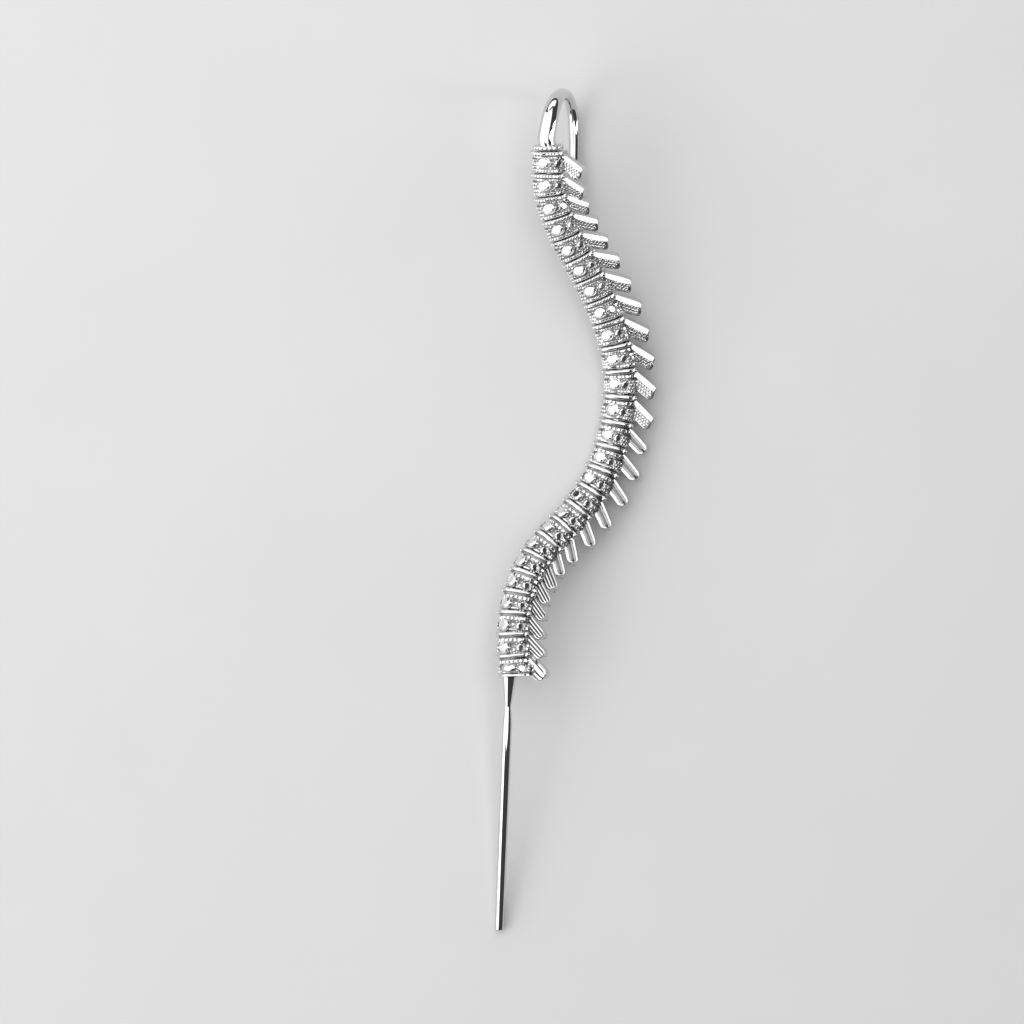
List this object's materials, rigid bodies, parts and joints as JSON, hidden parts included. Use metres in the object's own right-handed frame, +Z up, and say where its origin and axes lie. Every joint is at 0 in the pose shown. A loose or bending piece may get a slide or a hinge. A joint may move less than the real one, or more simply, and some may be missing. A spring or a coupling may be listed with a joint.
{
  "type": "ear cuff",
  "caption": "Long ear cuff in the form of a jewelled spine: a hook for the top of the ear, stone-set vertebrae with blade fins in an S curve, and a cone with a lobe pin.",
  "frame": {"origin": "middle of the footprint of the cuff's bounding box, on the surface it rests on", "axes": "+Y along the spine from the lobe pin towards the hook, +Z up from the surface, out of the stone-set front, +X to the right of the front, the side the fins point to"},
  "size_m": [0.0144, 0.0742, 0.0085],
  "materials": {
    "polished_metal": "polished rhodium-plated silver",
    "clear_stone": "cut and polished clear stone"
  },
  "bodies": {
    "root": {"ear_hook": "polished_metal", "core_wire": "polished_metal", "lobe_pin": "polished_metal", "vertebra_01": "polished_metal", "vertebra_02": "polished_metal", "vertebra_03": "polished_metal", "vertebra_04": "polished_metal", "vertebra_05": "polished_metal", "vertebra_06": "polished_metal", "vertebra_07": "polished_metal", "vertebra_08": "polished_metal", "vertebra_09": "polished_metal", "vertebra_10": "polished_metal", "vertebra_11": "polished_metal", "vertebra_12": "polished_metal", "vertebra_13": "polished_metal", "vertebra_14": "polished_metal", "vertebra_15": "polished_metal", "vertebra_16": "polished_metal", "vertebra_17": "polished_metal", "vertebra_18": "polished_metal", "vertebra_19": "polished_metal", "vertebra_20": "polished_metal", "vertebra_21": "polished_metal", "vertebra_22": "polished_metal", "vertebra_23": "polished_metal", "vertebra_24": "polished_metal", "vertebra_25": "polished_metal", "stone_01": "clear_stone", "stone_02": "clear_stone", "stone_03": "clear_stone", "stone_04": "clear_stone", "stone_05": "clear_stone", "stone_06": "clear_stone", "stone_07": "clear_stone", "stone_08": "clear_stone", "stone_09": "clear_stone", "stone_10": "clear_stone", "stone_11": "clear_stone", "stone_12": "clear_stone", "stone_13": "clear_stone", "stone_14": "clear_stone", "stone_15": "clear_stone", "stone_16": "clear_stone", "stone_17": "clear_stone", "stone_18": "clear_stone", "stone_19": "clear_stone", "stone_20": "clear_stone", "stone_21": "clear_stone", "stone_22": "clear_stone", "stone_23": "clear_stone", "stone_24": "clear_stone"}
  },
  "joints": []
}
